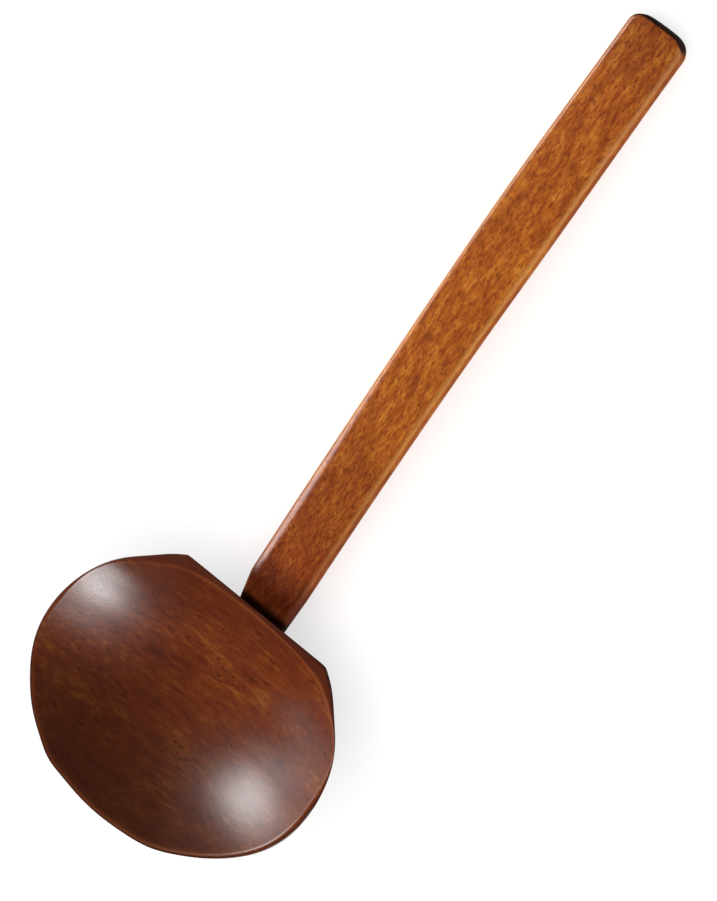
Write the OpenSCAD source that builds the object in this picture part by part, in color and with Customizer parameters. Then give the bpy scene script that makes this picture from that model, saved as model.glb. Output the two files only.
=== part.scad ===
// Wooden ladle: a carved oval bowl and a flat bar handle, glued together with a blind tenon.
// It lies as it does on a table, resting on the foot's rear edge and on the handle's tip.
// X is across the bowl, +Y runs towards the handle's tip, +Z is up.

/* [Bowl] */
// Width of the rim, side to side
bowl_w = 85; // [70:1:100]
// Length of the rim in front of its widest line
rim_front = 34.4; // [28:0.2:40]
// Length of the rim behind its widest line, up to the flat back
rim_back = 31.8; // [30:0.2:34]
// Length that the rear half of the oval would have if it weren't cut flat
oval_back = 37.2; // [35:0.2:40]
// Height from the foot to the rim
bowl_h = 25; // [24:1:30]
// Lean of the flat back, inwards below the rim, in degrees
back_lean = 10; // [4:1:12]
// Size of the flat foot as a share of the rim
foot_share = 0.4; // [0.3:0.05:0.5]

/* [Hollow] */
// Depth of the dish at its middle
dish_depth = 16; // [12:1:17]
// Width of the lip at the sides
lip_side = 1; // [0.8:0.1:2]
// Width of the lip at the front
lip_front = 0.8; // [0.6:0.1:2]
// Width of the lip at the middle of the back
lip_back = 1.4; // [1:0.1:3]

/* [Handle] */
// Length from the bowl's back to the tip
handle_len = 181; // [150:1:210]
// Width of the bar
handle_w = 16.2; // [14:0.1:18]
// Thickness of the bar
handle_t = 8; // [7:0.5:8]
// Rise of the bar above the rim's plane, in degrees
handle_rise = 17; // [12:1:20]
// Height of the bar's upward bow
handle_bow = 6.5; // [2:0.5:8]
// Radius of the bar's long edges
edge_r = 1.6; // [0.8:0.1:3]
// Radius of the tip's two corners, seen from above
tip_corner_r = 3; // [1:0.5:6]

/* [Joint] */
// Depth of the bar's top below the rim, where it meets the bowl
neck_drop = 5.5; // [5.5:0.5:6]
// Length over which the bar narrows to the neck
neck_len = 7; // [5:1:12]
// Amount taken off each side and off the top at the neck
neck_cut = 0.9; // [0.5:0.1:1.2]
// Width of the tenon
tenon_w = 11.5; // [8:0.5:12]
// Thickness of the tenon
tenon_t = 5.2; // [4:0.2:5.4]
// Length of the tenon
tenon_len = 9; // [6:0.5:9]

/* [Hidden] */

// Points around each ring of the bowl
RING_POINTS = 72;
// Heights of the rings outside the bowl, as shares of its height
WALL_LEVELS = [0, 0.08, 0.18, 0.3, 0.43, 0.57, 0.72, 0.86, 1];
// Sizes of the rings inside the dish, as shares of the inner edge
DISH_RINGS = [1, 0.96, 0.9, 0.82, 0.72, 0.6, 0.46, 0.3, 0.13];
// How quickly the outside draws in below the rim, at the sides and at the fuller back
SIDE_POWER = 1.7;
BACK_POWER = 3;
// How squarely the inner edge follows the flat back: 2 is a plain ellipse
INNER_POWER = 2.7;
// How quickly the dish falls from its middle outwards
DISH_POWER = 2.2;
// Height, as a share of the bowl's, of the foremost point as the ladle lies
FRONT_LEVEL = 0.86;
// Room for glue on each side of the tenon, and beyond its end
GLUE = 0.1;
END_ROOM = 0.4;
// How far a cutting shape runs past the surface that it cuts
OVER = 1;
// Length of bar drawn past the neck, for the bowl's flat back to trim
SPARE = 9;
// Facets of a full circle: the bar's long edges, the tip's corners and the bar's arch
EDGE_FACETS = 32;
CORNER_FACETS = 48;
ARCH_FACETS = 360;
// Size of the shapes that trim the bar, well over the ladle's height
TRIM = 4 * bowl_h;

// The bar's top is an arc of a circle through the neck and the tip
arc_r = handle_len * handle_len / (8 * handle_bow) + handle_bow / 2;
arc_half = asin(handle_len / 2 / arc_r);
tip_slope = handle_rise - arc_half;

// The neck's top edge, the tip's top edge and the tip's lower edge, as [y, z] with the rim level
neck = [rim_back, bowl_h - neck_drop];
tip_top = neck + handle_len * [cos(handle_rise), sin(handle_rise)];
tip_low = tip_top + handle_t * [sin(tip_slope), -cos(tip_slope)];

// At rest the ladle leans back on the foot's rear edge until the tip touches the table
foot_rear = foot_share * oval_back;
lean = atan2(tip_low[1], tip_low[0] - foot_rear);
front_y = FRONT_LEVEL * bowl_h * sin(lean) - rim_front * shrink(FRONT_LEVEL, SIDE_POWER) * cos(lean);
tip_y = tip_top[0] * cos(lean) + tip_top[1] * sin(lean);
rest_shift = [0, -(front_y + tip_y) / 2, foot_rear * sin(lean)];

// Size of the outside at a share of the bowl's height, as a share of the rim's size
function shrink(level, power) = 1 - (1 - foot_share) * pow(1 - level, power);

// A closed oval: an ellipse whose rear half may be squarer, cut flat at the line y = cut
function oval(half_w, front, back, power, cut) = [
    for (i = [0 : RING_POINTS - 1])
        let (
            turn = 360 * i / RING_POINTS,
            across = cos(turn),
            along = sin(turn),
            share = along < 0 ? 1 : 2 / power
        )
        [
            half_w * sign(across) * pow(abs(across), share),
            along < 0 ? front * along : min(cut, back * pow(along, share))
        ]
];

// The outside of the bowl at a share of its height
function wall_ring(level) = [
    for (p = oval(
        bowl_w / 2 * shrink(level, SIDE_POWER),
        rim_front * shrink(level, SIDE_POWER),
        oval_back * shrink(level, BACK_POWER),
        2,
        rim_back - (1 - level) * bowl_h * tan(back_lean)
    ))
        [p[0], p[1], level * bowl_h]
];

// The dish at a share of its inner edge's size
function dish_ring(share) = [
    for (p = oval(
        (bowl_w / 2 - lip_side) * share,
        (rim_front - lip_front) * share,
        (rim_back - lip_back) * share,
        INNER_POWER,
        rim_back
    ))
        [p[0], p[1], bowl_h - dish_depth * (1 - pow(share, DISH_POWER))]
];

// A solid skinned over a stack of rings, closed flat at its first and last ring
module skin(rings) {
    points = [for (ring = rings) each ring];
    last = (len(rings) - 1) * RING_POINTS;
    sides = [
        for (k = [0 : len(rings) - 2], i = [0 : RING_POINTS - 1])
            let (
                j = (i + 1) % RING_POINTS,
                low = k * RING_POINTS,
                high = low + RING_POINTS
            )
            each [[low + i, high + j, low + j], [low + i, high + i, high + j]]
    ];
    first_cap = [for (i = [0 : RING_POINTS - 1]) i];
    last_cap = [for (i = [RING_POINTS - 1 : -1 : 0]) last + i];
    polyhedron(points, [first_cap, each sides, last_cap]);
}

// Moves a shape drawn with the rim level to where it lies on the table
module at_rest() {
    translate(rest_shift) rotate([-lean, 0, 0]) children();
}

// Moves a shape drawn along the bar's chord, from the neck's top, to its place with the rim level
module on_chord() {
    translate([0, neck[0], neck[1]]) rotate([handle_rise, 0, 0]) children();
}

// The tenon, or with room around it the mortise; it follows the bar's slope at the neck
module tenon(room, end_room) {
    top = neck_cut + (handle_t - neck_cut - tenon_t) / 2;
    on_chord() rotate([arc_half, 0, 0])
        translate([-tenon_w / 2 - room, -tenon_len - end_room, -top - tenon_t - room])
            cube([tenon_w + 2 * room, tenon_len + end_room + neck_len / 2, tenon_t + 2 * room]);
}

// The bar's cross-section: x runs outwards along the arc's radius, y across the bar
module bar_section() {
    for (x = [arc_r - handle_t + edge_r, arc_r - edge_r], y = [-1, 1] * (handle_w / 2 - edge_r))
        translate([x, y]) circle(r = edge_r, $fn = EDGE_FACETS);
    translate([arc_r - handle_t + edge_r, -handle_w / 2]) square([handle_t - 2 * edge_r, handle_w]);
    translate([arc_r - handle_t, edge_r - handle_w / 2]) square([handle_t, handle_w - 2 * edge_r]);
}

// The arched bar, running on past the neck into the bowl
module arched_bar() {
    spare_turn = asin(SPARE / arc_r);
    on_chord() translate([0, handle_len / 2, handle_bow - arc_r]) rotate([90, 0, 90])
        rotate([0, 0, 90 - arc_half])
            rotate_extrude(angle = 2 * arc_half + spare_turn, $fn = ARCH_FACETS) bar_section();
}

// The bar's outline from above, along its chord: a narrowed neck, straight sides and rounded tip corners
module bar_outline() {
    half_w = handle_w / 2;
    neck_half = half_w - neck_cut;
    past_tip = handle_len + handle_t;
    corner_y = handle_len - tip_corner_r;
    polygon([
        [-neck_half, -SPARE], [neck_half, -SPARE], [neck_half, 0],
        [half_w + OVER, neck_len * (1 + OVER / neck_cut)], [half_w + OVER, corner_y],
        [-half_w - OVER, corner_y], [-half_w - OVER, neck_len * (1 + OVER / neck_cut)], [-neck_half, 0]
    ]);
    translate([tip_corner_r - half_w, 0]) square([handle_w - 2 * tip_corner_r, past_tip]);
    for (side = [-1, 1])
        translate([side * (half_w - tip_corner_r), corner_y]) circle(r = tip_corner_r, $fn = CORNER_FACETS);
}

// What is pared off the top of the bar so that it dips into the bowl
module neck_paring() {
    on_chord() rotate([arc_half, 0, 0]) translate([-handle_w, 0, 0]) rotate([90, 0, 90])
        linear_extrude(2 * handle_w)
            polygon([
                [-SPARE, OVER], [-SPARE, -neck_cut], [0, -neck_cut],
                [neck_len, 0], [neck_len, OVER]
            ]);
}

// The scoop, with the mortise in its flat back
module bowl() {
    color([0.32, 0.13, 0.07]) at_rest() difference() {
        skin([
            for (level = WALL_LEVELS) wall_ring(level),
            for (share = DISH_RINGS) dish_ring(share)
        ]);
        tenon(GLUE, END_ROOM);
    }
}

// The bar handle, with its shoulder flat against the bowl's leaning back, and its tenon
module handle() {
    color([0.66, 0.36, 0.15]) at_rest() {
        difference() {
            intersection() {
                arched_bar();
                on_chord() translate([0, 0, -TRIM / 2]) linear_extrude(TRIM) bar_outline();
            }
            neck_paring();
            translate([0, rim_back, bowl_h]) rotate([-back_lean, 0, 0])
                translate([-TRIM / 2, -TRIM, -TRIM / 2]) cube(TRIM);
        }
        tenon(0, 0);
    }
}

bowl();
handle();
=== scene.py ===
"""The looks of a two-piece wooden ladle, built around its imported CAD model.

Lengths in the shapes below are millimetres, with the rim level: x runs across the bowl from its
middle, y from the rim's widest line towards the handle, z up from the foot. at_rest() turns them
into the row frame, where the ladle leans back on its foot's rear edge and its handle's tip.
"""

import math

import bpy
import numpy as np
from mathutils import Matrix, Vector
from mathutils.kdtree import KDTree


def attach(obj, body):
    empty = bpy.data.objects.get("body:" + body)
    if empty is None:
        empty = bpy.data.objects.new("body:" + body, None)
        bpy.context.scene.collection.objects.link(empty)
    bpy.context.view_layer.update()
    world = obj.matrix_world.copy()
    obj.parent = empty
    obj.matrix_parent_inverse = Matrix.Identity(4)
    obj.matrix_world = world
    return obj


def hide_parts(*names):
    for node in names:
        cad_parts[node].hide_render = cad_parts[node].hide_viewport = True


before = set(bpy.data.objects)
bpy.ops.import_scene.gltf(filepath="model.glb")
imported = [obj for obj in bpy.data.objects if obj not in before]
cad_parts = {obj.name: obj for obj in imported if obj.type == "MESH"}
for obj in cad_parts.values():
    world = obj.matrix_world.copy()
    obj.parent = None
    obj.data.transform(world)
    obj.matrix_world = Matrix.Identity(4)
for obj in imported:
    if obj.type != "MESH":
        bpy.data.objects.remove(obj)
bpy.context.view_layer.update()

MM = 0.001

# The bowl, as designed
BOWL_HALF_W = 42.5
RIM_FRONT = 34.4
RIM_BACK = 31.8
OVAL_BACK = 37.2
BOWL_H = 25.0
BACK_LEAN = math.radians(10)
FOOT_SHARE = 0.4
SIDE_POWER = 1.7
BACK_POWER = 3.0
FRONT_LEVEL = 0.86
DISH_DEPTH = 16.0
DISH_POWER = 2.2
INNER_POWER = 2.7
LIP_SIDE = 1.0
LIP_FRONT = 0.8
LIP_BACK = 1.4

# The handle, as designed
HANDLE_LEN = 181.0
HANDLE_HALF_W = 8.1
HANDLE_T = 8.0
HANDLE_RISE = math.radians(17)
HANDLE_BOW = 6.5
NECK_DROP = 5.5
NECK_LEN = 7.0
NECK_CUT = 0.9
TENON_HALF_W = 5.75
TENON_T = 5.2
TENON_LEN = 9.0
GLUE = 0.1
END_ROOM = 0.4

# The handle's top is an arc, and its root slopes up from the bowl
ARC_R = HANDLE_LEN**2 / (8 * HANDLE_BOW) + HANDLE_BOW / 2
ARC_HALF = math.asin(HANDLE_LEN / 2 / ARC_R)
ARC_LEN = 2 * ARC_R * ARC_HALF
TIP_SLOPE = HANDLE_RISE - ARC_HALF
ROOT_SLOPE = HANDLE_RISE + ARC_HALF
NECK = np.array([RIM_BACK, BOWL_H - NECK_DROP])


def back_plane(height):
    """Where the bowl's leaning flat back is, at a height above the foot."""
    return RIM_BACK - (BOWL_H - height) * math.tan(BACK_LEAN)


def shrink(level, power):
    """Size of the bowl's outside at a share of its height, as a share of the rim's size."""
    return 1 - (1 - FOOT_SHARE) * (1 - level) ** power


def rest_pose():
    """The lean, and the shifts along y and z, that lay the ladle on the table."""
    tip = NECK + HANDLE_LEN * np.array([math.cos(HANDLE_RISE), math.sin(HANDLE_RISE)])
    low = tip + HANDLE_T * np.array([math.sin(TIP_SLOPE), -math.cos(TIP_SLOPE)])
    foot_rear = FOOT_SHARE * OVAL_BACK
    lean = math.atan2(low[1], low[0] - foot_rear)
    foremost = RIM_FRONT * shrink(FRONT_LEVEL, SIDE_POWER)
    front_y = FRONT_LEVEL * BOWL_H * math.sin(lean) - foremost * math.cos(lean)
    tip_y = tip[0] * math.cos(lean) + tip[1] * math.sin(lean)
    return lean, -(front_y + tip_y) / 2, foot_rear * math.sin(lean)


LEAN, SHIFT_Y, SHIFT_Z = rest_pose()
REST_TURN = Matrix.Rotation(-LEAN, 3, "X")


def at_rest(points):
    """Points drawn with the rim level, in millimetres, as they lie in the row frame, in metres."""
    turned = np.asarray(points, float) @ np.array(REST_TURN).T
    return (turned + [0, SHIFT_Y, SHIFT_Z]) * MM


def make_object(name, points, faces):
    """A smooth-shaded mesh object from points drawn with the rim level."""
    mesh = bpy.data.meshes.new(name)
    mesh.from_pydata(at_rest(points).tolist(), [], faces)
    mesh.polygons.foreach_set("use_smooth", [True] * len(mesh.polygons))
    made = bpy.data.objects.new(name, mesh)
    bpy.context.scene.collection.objects.link(made)
    return made


def skin(rings):
    """Points and faces of a closed surface over a stack of rings, with a point at each end."""
    count, around = rings.shape[:2]
    points = np.vstack([rings.reshape(-1, 3), rings[0].mean(0), rings[-1].mean(0)])
    i = np.arange(around)
    j = (i + 1) % around
    first, last = count * around, count * around + 1
    top = (count - 1) * around
    faces = []
    for low in range(0, top, around):
        faces += np.stack([low + i, low + j, low + around + j, low + around + i], 1).tolist()
    faces += [[first, b, a] for a, b in zip(i.tolist(), j.tolist())]
    faces += [[last, top + a, top + b] for a, b in zip(i.tolist(), j.tolist())]
    return points, faces


def paint(mesh, name, values):
    """Stores a vector at each point, in the mesh's own order, for the materials to read."""
    attribute = mesh.attributes.new(name, "FLOAT_VECTOR", "POINT")
    attribute.data.foreach_set("vector", np.asarray(values, np.float32).ravel())


def arc_between(before, corner, after, steps):
    """Rows of points that round a corner off, from just before it to just after it."""
    rows = []
    for t in np.linspace(0, 1, steps):
        rows.append((1 - t) ** 2 * before + 2 * t * (1 - t) * corner + t**2 * after)
    return rows


# ---------------------------------------------------------------- the bowl

# Points round each ring, and the finer turns that they are spaced out from
RIM_POINTS, FINE_TURNS = 400, 7201
# Rounding where the oval meets the flat back, and how the points crowd together there
CORNER_SOFTNESS = 0.25
CROWD, CROWD_SPREAD = 4, math.radians(4)

# What the hand tools left: bearing round the rim in degrees, spread in degrees, height in mm.
# Inside the dish it fades towards the middle.
CARVED = (
    (-153, 11, -0.38),
    (-121, 8, 0.65),
    (-64, 11, 0.5),
    (-17, 14, 0.55),
    (35, 10, -0.76),
    (140, 10, -0.76),
)
CARVED_INSIDE = ((146, 18, -1.0), (4, 26, -0.5))
CARVE_FADE = 4

# Where the foot's rounded edge starts, as a share of the foot, and where it ends and the rim's
# starts, as shares of the bowl's height
FOOT_FLAT = 0.92
FOOT_ROUNDED, RIM_STRAIGHT = 0.03, 0.98
# How much of the lip's width each of its rounded edges takes, and the most in millimetres
LIP_SHARE, LIP_OUT_MAX, LIP_IN_MAX = 0.45, 0.5, 0.9
# Where the lip's rounding ends inside the dish, as a share of the dish's size
DISH_STRAIGHT = 0.9905
# Rings over the flat foot, the wall and the dish
FOOT_STEPS, WALL_STEPS, DISH_STEPS = 7, 34, 42


def rim_turns():
    """Angles round the bowl, crowded where its oval meets its flat back."""
    fine = np.linspace(0, 2 * math.pi, FINE_TURNS)
    corner = math.asin(RIM_BACK / OVAL_BACK)
    density = np.ones_like(fine)
    for place in (corner, math.pi - corner):
        density += CROWD * np.exp(-(((fine - place) / CROWD_SPREAD) ** 2))
    share = np.concatenate([[0], np.cumsum((density[1:] + density[:-1]) / 2)])
    return np.interp(np.arange(RIM_POINTS) / RIM_POINTS, share / share[-1], fine)


TURNS = rim_turns()


def soft_min(a, b, width):
    """The smaller of two values, rounded off where they cross."""
    near = np.clip(width - np.abs(a - b), 0, None) / width
    return np.minimum(a, b) - near * near * width / 4


def oval(half_w, front, back, power, cut=None):
    """A ring of [x, y]: an ellipse whose rear half may be squarer, and may be cut flat."""
    across, along = np.cos(TURNS), np.sin(TURNS)
    share = np.where(along < 0, 1, 2 / power)
    x = half_w * np.sign(across) * np.abs(across) ** share
    y = np.where(along < 0, front * along, back * np.abs(along) ** share)
    if cut is not None:
        y = soft_min(y, cut, CORNER_SOFTNESS)
    return np.stack([x, y], 1)


def carved(ring, share, cuts):
    """A ring with a share of the long, shallow hollows and swellings that hand shaping left."""
    bearing = np.degrees(np.arctan2(ring[:, 1], ring[:, 0]))
    height = np.zeros(len(ring))
    for place, spread, peak in cuts:
        off = (bearing - place + 180) % 360 - 180
        height += peak * np.exp(-((off / spread) ** 2))
    reach = np.linalg.norm(ring, axis=1, keepdims=True)
    return ring * (1 + share * height[:, None] / np.maximum(reach, 1))


def wall_ring(level):
    """The outside of the bowl at a share of its height."""
    side, rear = shrink(level, SIDE_POWER), shrink(level, BACK_POWER)
    flat = back_plane(level * BOWL_H)
    ring = oval(BOWL_HALF_W * side, RIM_FRONT * side, OVAL_BACK * rear, 2, flat)
    ring = carved(ring, level, CARVED)
    ring[:, 0] = np.clip(ring[:, 0], -BOWL_HALF_W, BOWL_HALF_W)
    ring[:, 1] = np.minimum(ring[:, 1], flat)
    return np.column_stack([ring, np.full(len(ring), level * BOWL_H)])


def dish_ring(share):
    """The dish at a share of its inner edge's size."""
    ring = oval(
        (BOWL_HALF_W - LIP_SIDE) * share,
        (RIM_FRONT - LIP_FRONT) * share,
        (RIM_BACK - LIP_BACK) * share,
        INNER_POWER,
    )
    depth = DISH_DEPTH * (1 - share**DISH_POWER)
    ring = carved(ring, share**CARVE_FADE, CARVED + CARVED_INSIDE)
    return np.column_stack([ring, np.full(len(ring), BOWL_H - depth)])


def build_bowl():
    """The scoop, with a rounded lip and foot edge, and the mortise cut into its flat back."""
    rim, edge = wall_ring(1), dish_ring(1)
    lip = edge - rim
    lip_w = np.linalg.norm(lip, axis=1, keepdims=True)
    lip_out = rim + lip / lip_w * np.minimum(LIP_SHARE * lip_w, LIP_OUT_MAX)
    lip_in = edge - lip / lip_w * np.minimum(LIP_SHARE * lip_w, LIP_IN_MAX)
    foot = wall_ring(0)
    foot_flat = foot * [FOOT_FLAT, FOOT_FLAT, 1]

    rings, zones = [], []

    def add(rows, outside, worn=()):
        """Adds rings, with how far they are on the outside and how much each one's edge is paled, by
        wear and by a painted highlight.
        """
        for k, row in enumerate(rows):
            rings.append(row)
            zones.append((outside, worn[k] if k < len(worn) else 0, 0))

    add([foot_flat * [s, s, 1] for s in np.linspace(0.15, 0.95, FOOT_STEPS)], 1)
    add(arc_between(foot_flat, foot, wall_ring(FOOT_ROUNDED), 6), 1, (0, 0.3, 0.7, 0.7, 0.3))
    levels = np.linspace(FOOT_ROUNDED, RIM_STRAIGHT, WALL_STEPS + 2)[1:-1]
    add([wall_ring(level) for level in levels], 1)
    add(arc_between(wall_ring(RIM_STRAIGHT), rim, lip_out, 7), 1, (0, 0.05, 0.15, 0.2, 0.15, 0.05))
    add([lip_out + (lip_in - lip_out) * s for s in (0.25, 0.75)], 0.7)
    add(arc_between(lip_in, edge, dish_ring(DISH_STRAIGHT), 7), 0.5, (0, 0.4, 0.8, 1, 1, 0.8, 0.5))
    near_lip = DISH_STRAIGHT - np.array([0.008, 0.02, 0.035])
    shares = np.concatenate([near_lip, np.linspace(0.94, 0.06, DISH_STEPS), [0.03]])
    add([dish_ring(share) for share in shares], 0, (0.2, 0.05))

    points, faces = skin(np.array(rings))
    made = make_object("ladle_bowl", points, faces)
    # The cut renumbers the points, so each one takes the zone of the uncut point nearest to it
    uncut = KDTree(len(points))
    for i, vertex in enumerate(made.data.vertices):
        uncut.insert(vertex.co, i)
    uncut.balance()
    painted = [zone for zone in zones for _ in range(RIM_POINTS)] + [(1, 0, 0), (0, 0, 0)]
    cut_mortise(made)
    paint(made.data, "zone", [painted[uncut.find(v.co)[1]] for v in made.data.vertices])
    return made


def root_point(x, s, h):
    """A point by the handle's root: x across, s along its slope, h above its top."""
    y = NECK[0] + s * math.cos(ROOT_SLOPE) - h * math.sin(ROOT_SLOPE)
    z = NECK[1] + s * math.sin(ROOT_SLOPE) + h * math.cos(ROOT_SLOPE)
    return [x, y, z]


def shoulder_at(h):
    """How far along the handle's root the bowl's flat back is, h above the root's top."""
    drop = NECK_DROP * math.sin(BACK_LEAN) / math.cos(ROOT_SLOPE + BACK_LEAN)
    return h * math.tan(ROOT_SLOPE + BACK_LEAN) - drop


TENON_TOP = -(NECK_CUT + (HANDLE_T - NECK_CUT - TENON_T) / 2)


def cut_mortise(bowl):
    """Cuts the mortise, with its room for glue, out of the bowl's mesh."""
    half_w = TENON_HALF_W + GLUE
    low, high = TENON_TOP - TENON_T - GLUE, TENON_TOP + GLUE
    ends = (-TENON_LEN - END_ROOM, NECK_LEN / 2)
    outline = ((-half_w, high), (half_w, high), (half_w, low), (-half_w, low))
    corners = [root_point(x, s, h) for s in ends for x, h in outline]
    sides = [[3, 2, 1, 0], [4, 5, 6, 7]]
    for i in range(4):
        j = (i + 1) % 4
        sides.append([i, j, j + 4, i + 4])
    cutter = make_object("mortise_cutter", corners, sides)
    cut = bowl.modifiers.new("mortise", "BOOLEAN")
    cut.operation, cut.solver, cut.object = "DIFFERENCE", "EXACT", cutter
    done = bowl.evaluated_get(bpy.context.evaluated_depsgraph_get())
    mesh = bpy.data.meshes.new_from_object(done)
    bowl.modifiers.clear()
    bowl.data = mesh
    bpy.data.objects.remove(cutter)


# ---------------------------------------------------------------- the handle

# Points along the section's top and bottom, its sides and each corner
FLAT_STEPS, SIDE_STEPS, CORNER_STEPS = 26, 4, 9
# Rings in the groove at the neck, in the neck itself, along the bar and round the tip
GROOVE_STEPS, NECK_STEPS, BAR_STEPS, TIP_STEPS = 7, 26, 94, 16
NECK_START, NECK_END = 1.8, 16.0
# Radii of the section's corners, clockwise from its top left, and height of its domed top
BAR_RADII = (0.9, 1.4, 1.6, 1.6)
CROWN = 0.15
# The bar is slimmer than its full width, but for a swelling towards the tip
SLIM, SWELL_AT, SWELL_LEN = 0.33, 127.0, 30.0
# The worn bevel along the left edge: its slope, its width, and how much broader it is near the neck
BEVEL_SLOPE = math.tan(math.radians(26))
BEVEL_W, BEVEL_EXTRA_W = 0.9, 1.3
BROAD_AT, BROAD_LEN, BROAD_START = 30, 45, 12
# Softness where the bevel meets the top, and where the neck's and the bevel's tapers end
BEVEL_SOFT, RAMP_SOFT = 0.02, 0.01
# The dome and the bevel fade down the sides, from this far below the top to this far above the bottom
FADE_FROM, FADE_TO = 1.0, 1.8
# How much the neck is narrowed on each side, and the groove scraped across its top at the bowl
LEFT_NECK_CUT, RIGHT_NECK_CUT = 1.25, 0.4
GROOVE_DEPTH, GROOVE_LEN = 0.6, 1.3
# Length over which the sections turn from the bowl's leaning back to square across the bar
SKEW_LEN = 12.0
# Radii of the tip's corners and of its top and lower edges, and how its end bulges outwards
TIP_LEFT_R, TIP_RIGHT_R, TIP_TOP_R, TIP_LOW_R = 3.0, 4.2, 1.6, 1.2
TIP_BULGE, TIP_BULGE_LEN = 0.5, 6.0
# How far the end's dark reaches from the tip, on the top and on the sides: end grain that takes more
# stain, and painted shade for the end and corner that face away from the lights
END_DARK, END_WRAP = 0.9, 3.3
# Radius of the tenon's edges, and how much its end is narrowed
TENON_R, TENON_CHAMFER = 0.3, 0.3


def section(left, right, top, low, radii):
    """A rounded rectangle of [x, h], clockwise from its top left. Also, from 0 to 1, how far each
    point is on a corner, and how far it faces sideways. The radii are in the same order."""
    corners = (
        (left, top, 1, -1, 90, radii[0]),
        (right, top, -1, -1, 0, radii[1]),
        (right, low, -1, 1, -90, radii[2]),
        (left, low, 1, 1, -180, radii[3]),
    )
    arcs = []
    for x, h, to_x, to_h, end, r in corners:
        a = np.radians(np.linspace(end + 90, end, CORNER_STEPS))
        arcs.append(np.stack([x + to_x * r + r * np.cos(a), h + to_h * r + r * np.sin(a)], 1))
    points, on_corner, sideways = [], [], []
    bend = np.sin(np.linspace(0, math.pi, CORNER_STEPS))
    turning = np.sin(np.linspace(0, math.pi / 2, CORNER_STEPS))
    for k, steps in enumerate((FLAT_STEPS, SIDE_STEPS, FLAT_STEPS, SIDE_STEPS)):
        share = np.linspace(0, 1, steps + 2)[1:-1, None]
        points += [arcs[k], arcs[k][-1] + share * (arcs[(k + 1) % 4][0] - arcs[k][-1])]
        on_corner += [bend, np.zeros(steps)]
        sideways += [turning[::-1] if k % 2 == 0 else turning, np.full(steps, k % 2)]
    return np.vstack(points), np.concatenate(on_corner), np.concatenate(sideways)


def quarter(d, r):
    """How far a quarter round of radius r sets a side in, at distance d from its end."""
    return r - np.sqrt(np.maximum(0, r * r - np.maximum(0, r - d) ** 2))


def soft_ramp(s, length):
    """1 at s = 0, falling to 0 at the given length, with a softened corner there."""
    a = 1 - s / length
    return 0.5 * (a + math.sqrt(a * a + RAMP_SOFT))


def bevel_breadth(s):
    """How broad the left edge's bevel is at s along the bar, from 0 to 1."""
    start = 1 - soft_ramp(s, BROAD_START) if s < BROAD_START else 1
    return math.exp(-(((s - BROAD_AT) / BROAD_LEN) ** 2)) * start


def bar_ring(s):
    """The bar's section at s along its top from the bowl, as points drawn with the rim level,
    and what to paint on each: how far it is on the darkened end, which is end grain and painted shade,
    and how far on an edge."""
    d = ARC_LEN - s
    neck = soft_ramp(s, NECK_LEN)
    half_w = HANDLE_HALF_W - SLIM * (1 - math.exp(-(((s - SWELL_AT) / SWELL_LEN) ** 2)))
    groove = GROOVE_DEPTH * quarter(s, GROOVE_LEN) / GROOVE_LEN
    left = -half_w + LEFT_NECK_CUT * neck + quarter(d, TIP_LEFT_R)
    right = half_w - RIGHT_NECK_CUT * neck - quarter(d, TIP_RIGHT_R)
    top = -NECK_CUT * neck - groove - quarter(d, TIP_TOP_R)
    low = -HANDLE_T + quarter(d, TIP_LOW_R)
    points, on_corner, sideways = section(left, right, top, low, BAR_RADII)
    x, h = points[:, 0], points[:, 1]
    over_bevel = left + BEVEL_W + BEVEL_EXTRA_W * bevel_breadth(s) - x
    on_bevel = 0.5 * (over_bevel + np.sqrt(over_bevel**2 + BEVEL_SOFT))
    lowest, highest = low + FADE_TO, top - FADE_FROM
    upper = np.clip((h - lowest) / (highest - lowest), 0, 1)
    h = h - (CROWN * (x / HANDLE_HALF_W) ** 2 + BEVEL_SLOPE * on_bevel) * upper
    skew = max(0, 1 - s / SKEW_LEN) ** 2
    bulge = TIP_BULGE * (x / HANDLE_HALF_W) ** 2 * math.exp(-d / TIP_BULGE_LEN)
    along = s + shoulder_at(h) * skew - bulge
    turn = along / ARC_R - ARC_HALF
    y = HANDLE_LEN / 2 + (ARC_R + h) * np.sin(turn)
    z = HANDLE_BOW - ARC_R + (ARC_R + h) * np.cos(turn)
    cos_rise, sin_rise = math.cos(HANDLE_RISE), math.sin(HANDLE_RISE)
    placed = [x, NECK[0] + y * cos_rise - z * sin_rise, NECK[1] + y * sin_rise + z * cos_rise]
    end_grain_and_shade = np.maximum(0, 1 - d / (END_DARK + (END_WRAP - END_DARK) * sideways))
    return np.stack(placed, 1), np.stack([end_grain_and_shade, on_corner, np.zeros(len(x))], 1).tolist()


def tenon_ring(s, inset):
    """The tenon's section at s along the handle's root, or in the shoulder's plane if s is None."""
    points, _, _ = section(
        -TENON_HALF_W + inset,
        TENON_HALF_W - inset,
        TENON_TOP - inset,
        TENON_TOP - TENON_T + inset,
        (TENON_R,) * 4,
    )
    return np.array([root_point(x, shoulder_at(h) if s is None else s, h) for x, h in points])


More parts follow.
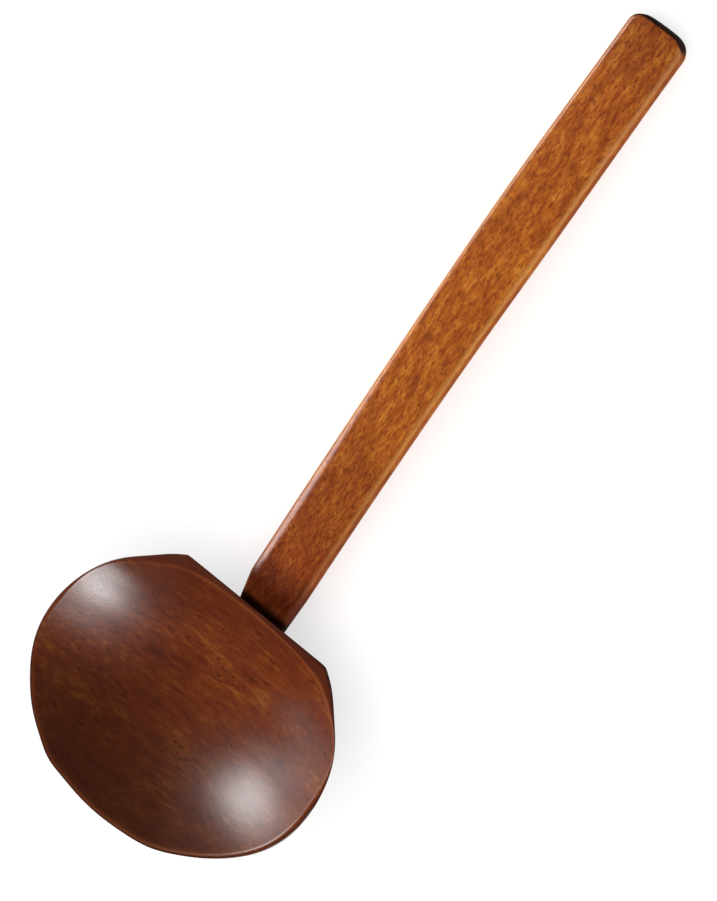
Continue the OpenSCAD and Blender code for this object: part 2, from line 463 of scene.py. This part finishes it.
def build_handle():
    """The arched bar with its rounded tip, its narrowed neck, and the tenon glued into the bowl."""
    groove = np.linspace(0, GROOVE_LEN, GROOVE_STEPS)
    neck = np.linspace(NECK_START, NECK_END, NECK_STEPS)
    middle = np.linspace(NECK_END, ARC_LEN - TIP_RIGHT_R, BAR_STEPS + 2)[1:-1]
    round_tip = np.radians(np.linspace(90, 0, TIP_STEPS))
    near_tip = ARC_LEN - TIP_RIGHT_R * (1 - np.cos(round_tip))
    rings, zones = [], []
    for s in np.concatenate([groove, neck, middle, near_tip]):
        ring, zone = bar_ring(s)
        rings.append(ring)
        zones.append(zone)
    rings[0][:, 1] = back_plane(rings[0][:, 2])
    shoulder, end = tenon_ring(None, 0), rings[-1]
    tenon = [tenon_ring(-TENON_LEN, TENON_CHAMFER), tenon_ring(TENON_CHAMFER - TENON_LEN, 0), shoulder]
    caps = [end.mean(0) + (end - end.mean(0)) * s for s in (0.85, 0.6, 0.3)]
    points, faces = skin(np.array(tenon + rings + caps))
    made = make_object("ladle_handle", points, faces)
    plain, on_end = (0, 0, 0), (1, 0, 0)
    painted = [plain] * len(end) * len(tenon) + sum(zones, []) + [on_end] * len(end) * len(caps)
    paint(made.data, "zone", painted + [plain, on_end])
    return made


bowl = build_bowl()
handle = build_handle()


# ---------------------------------------------------------------- materials

def srgb(red, green, blue):
    """A colour given in sRGB steps from 0 to 255, as linear values with an alpha of 1."""
    shares = np.array([red, green, blue]) / 255
    linear = np.where(shares <= 0.04045, shares / 12.92, ((shares + 0.055) / 1.055) ** 2.4)
    return (*linear.tolist(), 1)


# The woods' tones, from the darkest of their grain to the palest
DISH_TONES = (
    (0.34, srgb(82, 31, 14)),
    (0.46, srgb(104, 43, 18)),
    (0.55, srgb(116, 53, 20)),
    (0.65, srgb(142, 79, 29)),
)
# The wall's tones are darkened partly as painted shade
WALL_SHADED_TONES = (
    (0.36, srgb(34, 11, 4)),
    (0.46, srgb(50, 17, 7)),
    (0.54, srgb(66, 25, 10)),
    (0.64, srgb(88, 38, 15)),
)
BAR_TONES = (
    (0.36, srgb(132, 60, 18)),
    (0.46, srgb(160, 80, 25)),
    (0.54, srgb(182, 100, 32)),
    (0.63, srgb(204, 130, 46)),
)
# How the bar's colour is darkened, at shares of its length from the bowl: a stain that deepens towards
# the bowl, near black at the joint, and darker towards the tip
BAR_DARKENING = (
    (0.0, (0.02, 0.015, 0.015, 1)),
    (0.0065, (0.04, 0.03, 0.04, 1)),
    (0.0095, (0.25, 0.17, 0.3, 1)),
    (0.036, (0.24, 0.14, 0.3, 1)),
    (0.055, (0.36, 0.24, 0.4, 1)),
    (0.085, (0.7, 0.53, 0.65, 1)),
    (0.19, (0.75, 0.65, 0.75, 1)),
    (0.33, (1, 1, 1, 1)),
    (0.65, (1, 1, 1, 1)),
    (0.9, (0.9, 0.85, 0.95, 1)),
    (1.0, (0.7, 0.65, 0.8, 1)),
)
# Heights of the lacquered grain's relief in millimetres, and the lacquer's refractive index
BOWL_RELIEF, BAR_RELIEF, FLOOR_RELIEF = 0.018, 0.01, 0.01
LACQUER_IOR = 1.5
FLOOR_GLOW = 0.62


class Nodes:
    """Short calls that add nodes to a material and join them."""

    def __init__(self, name):
        self.material = bpy.data.materials.new(name)
        self.material.use_nodes = True
        self.tree = self.material.node_tree
        self.tree.nodes.clear()

    def add(self, kind, inputs=None, **settings):
        """Adds a node, and sets or joins its inputs, which are given by name or number."""
        made = self.tree.nodes.new("ShaderNode" + kind)
        for name, value in settings.items():
            setattr(made, name, value)
        for name, value in (inputs or {}).items():
            if isinstance(value, bpy.types.NodeSocket):
                self.tree.links.new(value, made.inputs[name])
            else:
                made.inputs[name].default_value = value
        return made

    def spot(self, turn, start):
        """Where a point is from a start on the ladle, in millimetres, turned about x."""
        where = self.add("TexCoord").outputs["Object"]
        moved = Matrix.Rotation(turn, 3, "X") @ Vector(at_rest([start])[0]) / MM
        return self.stretch(where, (1 / MM,) * 3, (turn, 0, 0), -moved)

    def stretch(self, where, scale, rotation=(0, 0, 0), move=(0, 0, 0)):
        """A place scaled, then turned, then moved."""
        inputs = {"Vector": where, "Scale": scale, "Rotation": rotation, "Location": move}
        return self.add("Mapping", inputs).outputs[0]

    def noise(self, where, scale, detail=2.0, rough=0.5, twist=0.0):
        """Noise that changes over about 1/scale millimetres along each axis."""
        inputs = {
            "Vector": self.stretch(where, scale),
            "Scale": 1.0,
            "Detail": detail,
            "Roughness": rough,
            "Distortion": twist,
        }
        return self.add("TexNoise", inputs).outputs[0]

    def span(self, value, low, high, to_low=0.0, to_high=1.0):
        """A value mapped smoothly from one range to another, and held at the ends."""
        inputs = {
            "Value": value,
            "From Min": low,
            "From Max": high,
            "To Min": to_low,
            "To Max": to_high,
        }
        return self.add("MapRange", inputs, interpolation_type="SMOOTHSTEP").outputs[0]

    def ramp(self, value, stops):
        """A colour that runs through the given stops, each a place from 0 to 1 and a colour."""
        made = self.add("ValToRGB", {0: value})
        bar = made.color_ramp.elements
        while len(bar) < len(stops):
            bar.new(0.5)
        for element, (place, colour) in zip(bar, stops):
            element.position = place
            element.color = colour
        return made.outputs[0]

    def mix(self, share, a, b, blend="MIX"):
        made = self.add("Mix", {0: share, 6: a, 7: b}, data_type="RGBA", blend_type=blend)
        return made.outputs[2]

    def math(self, operation, a, b=0.0):
        return self.add("Math", {0: a, 1: b}, operation=operation).outputs[0]

    def apart(self, vector):
        """The three parts of a vector."""
        return self.add("SeparateXYZ", {0: vector}).outputs

    def finish(self, colour, roughness, height, relief_mm, **sockets):
        """Joins everything to one Principled shader and returns the material."""
        bump = self.add("Bump", {"Strength": 1.0, "Distance": relief_mm * MM, "Height": height})
        inputs = {"Base Color": colour, "Roughness": roughness, "Normal": bump.outputs[0]}
        inputs.update({name.replace("_", " "): value for name, value in sockets.items()})
        shader = self.add("BsdfPrincipled", inputs)
        out = self.add("OutputMaterial")
        self.tree.links.new(shader.outputs[0], out.inputs[0])
        return self.material


def bowl_wood():
    """Dark red-brown stain over wood whose grain runs across the bowl, under satin lacquer."""
    n = Nodes("bowl_wood")
    where = n.spot(LEAN, (0, 0, 0))
    across, front_to_back, _ = n.apart(where)
    outside, edge, _ = n.apart(n.add("Attribute", attribute_name="zone").outputs["Vector"])

    broad = n.noise(where, (0.05, 0.11, 0.09), 3, 0.55, 0.4)
    grain = n.noise(where, (0.2, 0.8, 0.6), 4, 0.65, 0.3)
    fine = n.noise(where, (1.1, 3.0, 2.4), 3, 0.6)
    flecks = n.noise(where, (0.4, 1.2, 1.0), 3, 0.6, 0.6)
    clusters = n.noise(where, (0.07, 0.1, 0.08), 2, 0.5)

    tone = n.math("ADD", n.math("MULTIPLY", grain, 0.55), n.math("MULTIPLY", broad, 0.45))
    colour = n.ramp(tone, DISH_TONES)
    colour = n.mix(n.span(fine, 0.52, 0.68, 0, 0.4), colour, srgb(72, 27, 12))
    # Dark pores, in clusters
    pores = n.span(flecks, 0.57, 0.66, 0, 0.75)
    pores = n.math("MULTIPLY", pores, n.span(clusters, 0.4, 0.6, 0.15, 1))
    colour = n.mix(pores, colour, srgb(46, 16, 7))
    # Painted shade: the dish is darker towards the front, and towards the left of the flat back
    colour = n.mix(n.span(front_to_back, -36, 8, 0.74, 0), colour, srgb(48, 19, 5))
    painted_shade_rear_left = n.math("ADD", front_to_back, n.math("MULTIPLY", across, -0.35))
    colour = n.mix(n.span(painted_shade_rear_left, 12, 30, 0, 0.5), colour, srgb(64, 22, 14))
    # The lip is darker than the dish, and the wall darker still: partly a deeper stain, partly painted
    # shade where little light falls
    colour = n.mix(n.span(outside, 0.45, 0.7, 0, 0.8), colour, srgb(76, 27, 10))
    stained_and_shaded_wall = n.ramp(tone, WALL_SHADED_TONES)
    stained_and_shaded_wall = n.mix(n.span(fine, 0.52, 0.68, 0, 0.5), stained_and_shaded_wall, srgb(32, 10, 4))
    colour = n.mix(n.span(outside, 0.75, 1, 0, 0.9), colour, stained_and_shaded_wall)
    # Edges are worn paler, and paler still towards the right as a painted highlight on the arris that
    # the left light catches
    wear_and_highlight = n.math("MULTIPLY", edge, n.span(across, -32, 8, 0.2, 0.55))
    colour = n.mix(wear_and_highlight, colour, srgb(132, 68, 26))

    roughness = n.span(fine, 0.3, 0.7, 0.31, 0.35)
    height = n.math("ADD", n.math("MULTIPLY", fine, 0.5), grain)
    return n.finish(colour, roughness, height, BOWL_RELIEF, IOR=LACQUER_IOR)


def handle_wood():
    """Mottled orange-brown stain, darker and redder near the bowl, under satin lacquer."""
    n = Nodes("handle_wood")
    where = n.spot(LEAN - HANDLE_RISE, (0, *NECK))
    from_bowl = n.apart(n.spot(LEAN + BACK_LEAN, (0, *NECK)))[1]
    end_grain_and_shade, edge, _ = n.apart(n.add("Attribute", attribute_name="zone").outputs["Vector"])

    patches = n.noise(where, (0.42, 0.11, 0.3), 3, 0.6, 0.4)
    mottle = n.noise(where, (1.3, 0.36, 1.0), 4, 0.75)
    flecks = n.noise(where, (1.7, 0.6, 1.5), 3, 0.6)
    fine = n.noise(where, (4.2, 1.6, 3.6), 3, 0.6)

    tone = n.math("ADD", n.math("MULTIPLY", mottle, 0.6), n.math("MULTIPLY", patches, 0.4))
    colour = n.ramp(tone, BAR_TONES)
    colour = n.mix(n.span(flecks, 0.54, 0.63, 0, 0.7), colour, srgb(118, 50, 22))
    colour = n.mix(n.span(fine, 0.55, 0.7, 0, 0.3), colour, srgb(112, 50, 20))
    # Paler corners: partly wear, partly a painted highlight along the edges that catch the side lights
    colour = n.mix(n.math("MULTIPLY", edge, 0.5), colour, srgb(214, 152, 78))

    reach = HANDLE_LEN * math.cos(HANDLE_RISE + BACK_LEAN)
    stain = n.ramp(n.math("DIVIDE", from_bowl, reach), BAR_DARKENING)
    colour = n.mix(1.0, colour, stain, "MULTIPLY")
    # End grain and painted shade: the tip's end, and the corner round its right side, are painted near
    # black
    colour = n.mix(n.span(end_grain_and_shade, 0.1, 0.55, 0, 0.97), colour, srgb(26, 9, 5))

    roughness = n.span(fine, 0.3, 0.7, 0.3, 0.36)
    height = n.math("ADD", n.math("MULTIPLY", fine, 0.5), mottle)
    return n.finish(colour, roughness, height, BAR_RELIEF, IOR=LACQUER_IOR)


def pale_floor():
    """A plain white studio floor that glows a little, so that it stays white round the ladle."""
    n = Nodes("pale_floor")
    where = n.add("TexCoord").outputs["Object"]
    tint = n.add("TexNoise", {"Vector": where, "Scale": 3.0}).outputs[0]
    colour = n.mix(n.span(tint, 0.3, 0.7, 0, 1), (0.9, 0.9, 0.9, 1), (0.93, 0.93, 0.925, 1))
    glow = {"Emission_Color": (1, 1, 1, 1), "Emission_Strength": FLOOR_GLOW}
    return n.finish(colour, 0.9, tint, FLOOR_RELIEF, **glow)


for piece, material, slot, node in (
    (bowl, bowl_wood(), "bowl_wood", "bowl"),
    (handle, handle_wood(), "handle_wood", "handle"),
):
    piece.data.materials.clear()
    piece.data.materials.append(material)
    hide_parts(node)
    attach(piece, "root")


# ---------------------------------------------------------------- floor, lights and camera

# Sizes and distances of the floor and the lights, in metres
FLOOR_HALF = 6.0
LIGHT_DISTANCE = 0.7
OVERHEAD_SIZE, OVERHEAD_HEIGHT, OVERHEAD_BRIGHTNESS = 4.0, 1.5, 0.78
WORLD_BRIGHTNESS = 0.04

floor_mesh = bpy.data.meshes.new("floor")
floor_corners = [
    (x * FLOOR_HALF, y * FLOOR_HALF, 0) for x, y in ((-1, -1), (1, -1), (1, 1), (-1, 1))
]
floor_mesh.from_pydata(floor_corners, [], [[0, 1, 2, 3]])
floor = bpy.data.objects.new("floor", floor_mesh)
bpy.context.scene.collection.objects.link(floor)
floor_mesh.materials.append(pale_floor())


def light_only(lamp, objects):
    """Keeps a lamp's light to the given objects."""
    group = bpy.data.collections.new(lamp.name)
    for lit in objects:
        group.objects.link(lit)
    lamp.light_linking.receiver_collection = group


def softbox(name, bearing, height, width, tall, brightness, objects):
    """A soft rectangular light facing the bowl, at a bearing round it and a height above its
    rim in degrees, that lights only the given objects. Its sizes are in metres."""
    data = bpy.data.lights.new(name, "AREA")
    data.shape, data.size, data.size_y = "RECTANGLE", width, tall
    data.energy = brightness * math.pi * width * tall
    made = bpy.data.objects.new(name, data)
    bpy.context.scene.collection.objects.link(made)
    bearing, height = math.radians(bearing), math.radians(height)
    level = Vector((math.cos(bearing), math.sin(bearing), 0)) * math.cos(height)
    toward = REST_TURN @ (level + Vector((0, 0, math.sin(height))))
    across = (REST_TURN @ Vector((0, 0, 1))).cross(toward).normalized()
    facing = Matrix((across, toward.cross(across), toward)).transposed()
    middle = Vector(at_rest([[0, 0, BOWL_H]])[0]) + toward * LIGHT_DISTANCE
    made.matrix_world = Matrix.Translation(middle) @ facing.to_4x4()
    light_only(made, objects)
    return made


# The two left lights and the two right ones make the dish's highlights, and the last two light
# the bar alone: one only as a reflection along its left edge, the other only as soft light
softbox("left_softbox", 171, 30, 0.34, 0.27, 18.5, (bowl, handle))
softbox("left_fill", 205, 13, 0.83, 0.3, 1.9, (bowl, handle))
softbox("right_softbox", 316, 14, 0.28, 0.08, 34, (bowl,))
softbox("right_top_softbox", 329, 26, 0.18, 0.1, 56, (bowl,))
edge_light = softbox("edge_softbox", 214, 4, 0.5, 0.2, 10, (handle,))
edge_light.visible_diffuse = False
handle_fill = softbox("handle_fill", 12, 32, 0.6, 0.6, 4.4, (handle,))
handle_fill.visible_glossy = False

# A broad light from above keeps the floor white all round the ladle
overhead_data = bpy.data.lights.new("overhead", "AREA")
overhead_data.size = OVERHEAD_SIZE
overhead_data.energy = OVERHEAD_BRIGHTNESS * math.pi * OVERHEAD_SIZE**2
overhead = bpy.data.objects.new("overhead", overhead_data)
overhead.location = (0, 0, OVERHEAD_HEIGHT)
overhead.visible_glossy = False
bpy.context.scene.collection.objects.link(overhead)
light_only(overhead, (floor,))
floor.visible_glossy = False

world = bpy.data.worlds.new("studio")
world.use_nodes = True
background = world.node_tree.nodes["Background"].inputs
background["Color"].default_value = (1, 1, 1, 1)
background["Strength"].default_value = WORLD_BRIGHTNESS
bpy.context.scene.world = world
bpy.context.scene.view_settings.view_transform = "Standard"

# The camera looks nearly squarely down on the rim's plane, at a point in it beside the bar.
# Its turns are from square across the bowl, from square along it, and about its own axis.
YAW, PITCH, ROLL = (math.radians(a) for a in (9.9, 5.4, 37.69))
TARGET = Vector((-3.9, 79.3, BOWL_H))
DISTANCE = 800.0
LENS, SENSOR = 127.9, 36.0

to_camera = Vector((math.tan(YAW), math.tan(PITCH), 1)).normalized()
level_right = Vector((0, 1, 0)).cross(to_camera).normalized()
level_up = to_camera.cross(level_right)
right = math.cos(ROLL) * level_right + math.sin(ROLL) * level_up
up = to_camera.cross(right)
axes = Matrix((right, up, to_camera)).transposed()

camera_data = bpy.data.cameras.new("camera")
camera_data.lens, camera_data.sensor_width = LENS, SENSOR
camera = bpy.data.objects.new("camera", camera_data)
bpy.context.scene.collection.objects.link(camera)
place = Vector(at_rest([TARGET + DISTANCE * to_camera])[0])
camera.matrix_world = Matrix.Translation(place) @ (REST_TURN @ axes).to_4x4()
bpy.context.scene.camera = camera
